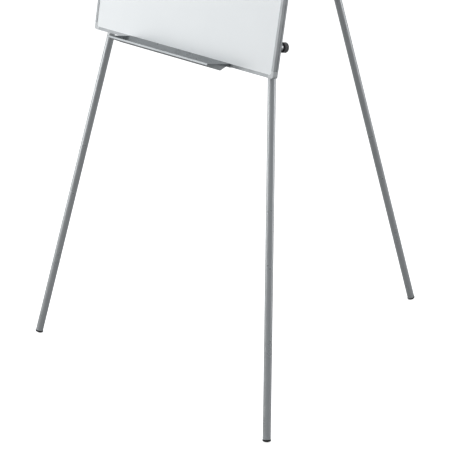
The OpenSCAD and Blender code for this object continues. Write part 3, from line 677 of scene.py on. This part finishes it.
CLAMP_ALUMINIUM = Finish("clamp_aluminium", (0.58, 0.60, 0.61), (0.51, 0.53, 0.54), (0.75, 0.76, 0.77),
                         Relief.DRAWN, metallic=0.9, roughness=0.34, grain=0.3, depth=0.005)
GRIP_RUBBER = Finish("grip_rubber", (0.022, 0.022, 0.025), (0.015, 0.015, 0.017), (0.07, 0.07, 0.07),
                     Relief.MOULDED, roughness=0.7, grain=0.6, depth=0.03)
SPRING_STEEL = Finish("spring_steel", (0.42, 0.43, 0.44), (0.33, 0.33, 0.34), (0.30, 0.24, 0.19),
                      Relief.DRAWN, metallic=1.0, roughness=0.32, grain=0.25, depth=0.004)
WHITE_LACQUER = Finish("white_lacquer", (0.84, 0.866, 0.876), (0.832, 0.858, 0.869), (0.78, 0.79, 0.8),
                       Relief.COAT, roughness=0.3, uneven=0.025, grain=1.6, depth=0.0015, dust=0.0,
                       scratches=0.08, coat=0.3)
GALVANISED = Finish("galvanised_sheet", (0.58, 0.60, 0.61), (0.40, 0.42, 0.44), (0.66, 0.67, 0.68),
                    Relief.SPANGLE, metallic=0.9, roughness=0.42, grain=9.0, depth=0.003)
BOARD_CORE = Finish("board_core", (0.55, 0.44, 0.28), (0.45, 0.35, 0.21), (0.62, 0.53, 0.38), Relief.PAPER,
                    roughness=0.85, grain=1.4, depth=0.08)
FRAME_ALUMINIUM = Finish("frame_aluminium", (0.36, 0.375, 0.385), (0.31, 0.325, 0.335), (0.5, 0.51, 0.52),
                         Relief.DRAWN, metallic=0.6, roughness=0.42, grain=0.3, depth=0.005)
CAP_PLASTIC = Finish("cap_plastic", (0.60, 0.62, 0.63), (0.55, 0.57, 0.58), (0.72, 0.73, 0.73),
                     Relief.MOULDED, roughness=0.42, grain=0.4, depth=0.012)


# ---------------------------------------------------------------- legs


@dataclass
class TelescopicLeg:
    """One leg: two tubes, the foot, the guide bush and the clamp between them. Sizes in millimetres."""

    name: LegName
    tube_rim: float = 0.3          # rounding of a tube's cut ends
    collar_edge: float = 0.8
    knob_edge: float = 0.35
    fine_edge: float = 0.25

    def build(self) -> None:
        """Builds the leg from its tubes to its knob."""
        axes = self.name.axes()
        self.tubes(axes)
        self.foot_and_bush(axes)
        self.clamp(axes)

    def part(self, part: str, body: str, finish: Finish, axes: Axes, width: float) -> None:
        """Makes one softened piece of the leg."""
        node = f"{self.name.value}_{part}"
        softened(node, body, finish, axes, width)

    def tubes(self, axes: Axes) -> None:
        """Makes the two tubes, with die lines along them and rounded ends."""
        self.part("upper_tube", self.name.frame_body, LEG_TUBE, axes, self.tube_rim)
        self.part("lower_tube", self.name.lower_body, LEG_TUBE, axes, self.tube_rim)

    def foot_and_bush(self, axes: Axes) -> None:
        """Makes the domed foot and the bush that guides the lower tube."""
        self.part("foot", self.name.lower_body, FOOT_RUBBER, axes, self.tube_rim)
        self.part("guide_bush", self.name.lower_body, DARK_PLASTIC, axes, self.fine_edge)

    def clamp(self, axes: Axes) -> None:
        """Makes the collar, the threaded insert, the shoe, the stud and the ribbed knob.

        Args:
            axes: the leg's axes.
        """
        side = self.name.value
        back = axes.facing_back()
        self.part("clamp_collar", self.name.frame_body, DARK_PLASTIC, axes, self.collar_edge)
        self.part("clamp_insert", self.name.frame_body, PLATED_STEEL, back, self.fine_edge)
        self.part("clamp_shoe", f"{side}_shoe", NYLON, back, self.fine_edge)
        self.part("clamp_stud", f"{side}_knob", PLATED_STEEL, back, self.fine_edge)
        self.part("clamp_knob", f"{side}_knob", KNOB_PLASTIC_PAINTED_HIGHLIGHT, back, self.knob_edge)


# ---------------------------------------------------------------- head and board


@dataclass
class HeadJoint:
    """The bracket between the front legs, its bolts and the rear leg's hinge. Sizes in millimetres."""

    plate_edge: float = 0.5
    bolt_edge: float = 0.3
    fitting_edge: float = 1.0

    def build(self) -> None:
        """Builds the bracket, the bolts, the hinge and the tube caps."""
        axes, across = board_axes(), board_axes().facing_right()
        softened("head_bracket", FRAME_BODY, GREY_STEEL, axes, self.plate_edge)
        softened("head_bolts", FRAME_BODY, PLATED_STEEL, axes, self.bolt_edge)
        for node in ("hinge_bolt", "hinge_nut"):
            softened(node, FRAME_BODY, PLATED_STEEL, across, self.bolt_edge)
        softened("hinge_washers", FRAME_BODY, NYLON, across, self.bolt_edge / 2)
        softened("rear_leg_fitting", "rear_leg", DARK_PLASTIC, LegName.REAR.axes(), self.fitting_edge)
        softened("tube_top_caps", FRAME_BODY, DARK_PLASTIC, axes, self.plate_edge)


@dataclass
class BoardMounting:
    """The saddles and straps that hold the board to the front legs. Sizes in millimetres."""

    saddle_edge: float = 0.9
    strap_edge: float = 0.35

    def build(self) -> None:
        """Builds a saddle and a strap on each front leg, and the screws."""
        for leg in (LegName.LEFT, LegName.RIGHT):
            axes, side = leg.axes(), leg.value
            softened(f"{side}_tube_saddle", FRAME_BODY, DARK_PLASTIC, axes, self.saddle_edge)
            softened(f"{side}_tube_strap", FRAME_BODY, PLATED_STEEL, axes, self.strap_edge)
        softened("board_screws", FRAME_BODY, PLATED_STEEL, board_axes().facing_back(), self.strap_edge)


@dataclass
class WritingBoard:
    """The lacquered sheet, the core, the zinc back sheet and the frame round them. Sizes in millimetres."""

    sheet_edge: float = 0.1
    frame_edge: float = 0.45
    cap_edge: float = 0.9

    def build(self) -> None:
        """Builds the panel and its frame."""
        axes = board_axes()
        for node, finish in (("board_front_sheet", WHITE_LACQUER), ("board_core", BOARD_CORE),
                             ("board_back_sheet", GALVANISED)):
            softened(node, FRAME_BODY, finish, axes, self.sheet_edge)
        for side in ("left", "right", "top", "bottom"):
            along = axes if side in ("left", "right") else axes.facing_right()
            node = f"{side}_frame_profile"
            softened(node, FRAME_BODY, FRAME_ALUMINIUM, along, self.frame_edge)
        softened("corner_caps", FRAME_BODY, CAP_PLASTIC, axes, self.cap_edge)


@dataclass
class PenTray:
    """The folded tray under the board, with a hem round its rim. Sizes in millimetres."""

    fold_edge: float = 0.3

    def build(self) -> None:
        """Builds the tray and its screws."""
        along = board_axes().facing_right()
        softened("pen_tray", FRAME_BODY, TRAY_STEEL, along, self.fold_edge)
        softened("tray_screws", FRAME_BODY, PLATED_STEEL, board_axes(), self.fold_edge)


@dataclass
class PadClamp:
    """The rail on the board's top edge, with the sprung clamp and the pad pegs. Sizes in millimetres."""

    rail_edge: float = 0.35
    pin_edge: float = 0.25
    wire: float = 0.8              # radius of the spring's wire
    coil: float = 4.6              # radius of the coil's middle line
    turns: float = 3.75
    pitch: float = 1.85
    front_leg: float = 18.0
    back_leg: float = 5.5
    back_fall: float = 1.2
    steps: int = 28                # points round each turn

    def build(self) -> None:
        """Builds the rail, the clamp, its springs, the pegs and their nuts."""
        axes, across = board_axes(), board_axes().facing_right()
        facing = axes.facing_back()
        softened("pad_rail", FRAME_BODY, GREY_STEEL, across, self.rail_edge)
        softened("rail_screws", FRAME_BODY, PLATED_STEEL, axes, self.pin_edge)
        softened("clamp_bar", "pad_clamp", CLAMP_ALUMINIUM, across, self.rail_edge)
        softened("clamp_grip", "pad_clamp", GRIP_RUBBER, across, self.rail_edge)
        softened("clamp_pins", FRAME_BODY, PLATED_STEEL, across, self.pin_edge)
        for side in ("left", "right"):
            softened(f"{side}_pad_peg", f"{side}_peg", PLATED_STEEL, facing, self.pin_edge)
            softened(f"{side}_peg_nut", f"{side}_nut", KNOB_PLASTIC_PAINTED_HIGHLIGHT, facing, self.pin_edge)
        self.springs(axes)

    def spring_path(self) -> list[Vector]:
        """The wire's middle line: a leg down the front, the coil and a leg to the back.

        Returns:
            Points in millimetres as (along the pin, back, up) from the coil's start.
        """
        count = int(self.turns * self.steps)
        path = [Vector((0, -self.coil, -self.front_leg)), Vector((0, -self.coil, -self.front_leg / 2))]
        for i in range(count + 1):
            a = math.pi + math.tau * i / self.steps
            along = i * self.pitch / self.steps
            path.append(Vector((along, self.coil * math.cos(a), self.coil * math.sin(a))))
        end = self.turns * self.pitch
        path.append(Vector((end, self.back_leg, self.coil - self.back_fall)))
        return path

    def springs(self, axes: Axes) -> None:
        """Winds both springs round their pins as one piece of round wire each.

        Args:
            axes: the board's axes.
        """
        low, high = axes.box("clamp_springs")
        pin = axes.matrix.inverted() @ Vector(joint("clamp_bar_lift")["pos_m"])
        for side, name in ((-1, "left"), (1, "right")):
            outer = high.x if side > 0 else -low.x
            start = outer - (self.turns * self.pitch + self.wire) * MM
            shape = Shape(axes.shifted(0.0, pin.y, pin.z))
            points = [Vector((side * (start + p.x * MM), p.y * MM, p.z * MM)) for p in self.spring_path()]
            shape.sweep(points, self.wire * MM)
            nodes = ("clamp_springs",) if side < 0 else ()
            shape.finish(f"{name}_clamp_spring", FRAME_BODY, SPRING_STEEL, *nodes)


# ---------------------------------------------------------------- studio


@dataclass(frozen=True)
class Softbox:
    """A soft rectangular light. Sizes in metres."""

    name: str
    place: Vector
    size: tuple[float, float]
    radiance: float               # how bright its surface looks


@dataclass
class Studio:
    """The plain floor, the soft lights and the camera. Sizes in metres."""

    floor_size: float = 90.0
    floor_bounce: float = 0.3      # share of the light that the floor throws back on the easel
    room_light: float = 0.36       # strength of the surround on the easel
    side_reach: float = 3.2        # from the easel to each side light
    side_rise: float = 0.7         # of the side lights above the aim
    camera_place: tuple[float, float, float] = (3.6698, -3.4506, 2.0008)
    yaw: float = 48.731
    pitch: float = 18.339
    roll: float = 0.788
    lens: float = 155.13           # focal length in millimetres, as is the sensor
    sensor: float = 36.0
    aim: tuple[float, float, float] = (0.0, 0.0, 0.7)

    def build(self) -> None:
        """Sets up the floor, the world, the lights and the camera."""
        self.floor()
        self.world()
        self.lights()
        self.camera()

    def floor(self) -> None:
        """Lays a plain pale floor."""
        half = self.floor_size / 2
        mesh = bpy.data.meshes.new("floor")
        corners = [(-half, -half, 0), (half, -half, 0), (half, half, 0), (-half, half, 0)]
        mesh.from_pydata(corners, [], [(0, 1, 2, 3)])
        floor = bpy.data.objects.new("floor", mesh)
        bpy.context.scene.collection.objects.link(floor)
        made = bpy.data.materials.new("pale_floor")
        made.use_nodes = True
        tree = made.node_tree
        pale = tree.nodes["Principled BSDF"]
        pale.inputs["Base Color"].default_value = (0.6, 0.6, 0.6, 1)
        pale.inputs["Roughness"].default_value = 0.9
        pale.inputs["Specular IOR Level"].default_value = 0.0
        pale.inputs["Emission Color"].default_value = (1, 1, 1, 1)
        pale.inputs["Emission Strength"].default_value = 0.8
        dim = put(tree, "ShaderNodeBsdfDiffuse", {"Color": (*[self.floor_bounce] * 3, 1)})
        seen = put(tree, "ShaderNodeLightPath").outputs["Is Camera Ray"]
        mixed = put(tree, "ShaderNodeMixShader", {0: seen, 1: dim.outputs[0], 2: pale.outputs[0]})
        tree.links.new(mixed.outputs[0], tree.nodes["Material Output"].inputs["Surface"])
        mesh.materials.append(made)

    def world(self) -> None:
        """Sets an even grey surround."""
        world = bpy.data.worlds.new("surround")
        bpy.context.scene.world = world
        world.use_nodes = True
        tree = world.node_tree
        room = tree.nodes["Background"]
        room.inputs["Color"].default_value = (0.93, 0.97, 1.0, 1)
        room.inputs["Strength"].default_value = self.room_light
        white = put(tree, "ShaderNodeBackground", {"Color": (1, 1, 1, 1), "Strength": 1.0})
        seen = put(tree, "ShaderNodeLightPath").outputs["Is Camera Ray"]
        mixed = put(tree, "ShaderNodeMixShader", {0: seen, 1: room.outputs[0], 2: white.outputs[0]})
        tree.links.new(mixed.outputs[0], tree.nodes["World Output"].inputs["Surface"])

    def across(self) -> Vector:
        """The level direction to the camera's right."""
        turn = math.radians(self.yaw)
        return Vector((math.cos(turn), math.sin(turn), 0))

    def softbox(self, box: Softbox) -> None:
        """Hangs a soft light that faces the easel.

        Args:
            box: the light.
        """
        width, height = box.size
        data = bpy.data.lights.new(box.name, "AREA")
        data.shape = "RECTANGLE"
        data.size, data.size_y = width, height
        data.energy = box.radiance * math.pi * width * height
        lamp = bpy.data.objects.new(box.name, data)
        lamp.location = box.place
        lamp.rotation_euler = (Vector(self.aim) - box.place).to_track_quat("-Z", "Y").to_euler()
        bpy.context.scene.collection.objects.link(lamp)

    def lights(self) -> None:
        """Hangs a soft light on each side, one in front of the board, one overhead and one behind."""
        middle, reach = Vector(self.aim) + Vector((0, 0, self.side_rise)), self.across() * self.side_reach
        for box in (
            Softbox("left_softbox", middle - reach, (2.4, 3.0), 1.85),
            Softbox("right_softbox", middle + reach, (2.4, 3.0), 1.7),
            Softbox("front_softbox", Vector((-1.2, -4.5, 3.2)), (3.0, 2.0), 3.1),
            Softbox("top_softbox", Vector((0.3, -0.3, 4.6)), (3.5, 3.5), 1.7),
            Softbox("back_softbox", Vector((-1.6, 4.2, 2.4)), (2.6, 2.0), 1.8),
        ):
            self.softbox(box)

    def camera(self) -> None:
        """Sets the camera."""
        pitch, roll = math.radians(self.pitch), math.radians(self.roll)
        level = self.across()
        north = Vector((-level.y, level.x, 0))
        ahead = north * math.cos(pitch) - Vector((0, 0, math.sin(pitch)))
        above = level.cross(ahead)
        right = math.cos(roll) * level + math.sin(roll) * above
        up = -math.sin(roll) * level + math.cos(roll) * above
        data = bpy.data.cameras.new("camera")
        data.lens, data.sensor_width = self.lens, self.sensor
        camera = bpy.data.objects.new("camera", data)
        camera.matrix_world = Axes.of(Vector(self.camera_place), right, up, -ahead).matrix
        bpy.context.scene.collection.objects.link(camera)
        bpy.context.scene.camera = camera
        bpy.context.scene.view_settings.view_transform = "Standard"


def save_size() -> None:
    """Brings the scene's transforms up to date."""
    bpy.context.view_layer.update()


def main() -> None:
    """Builds the easel's sub-assemblies in order, then the studio round them."""
    logging.basicConfig(level=logging.INFO, format="%(name)s: %(message)s")
    legs = map(TelescopicLeg, LegName)
    assemblies = [*legs, HeadJoint(), BoardMounting(), WritingBoard(), PenTray(), PadClamp()]
    for assembly in assemblies:
        assembly.build()
        log.info("built %s", assembly)
    Studio().build()
    save_size()


if __name__ == "__main__":
    main()
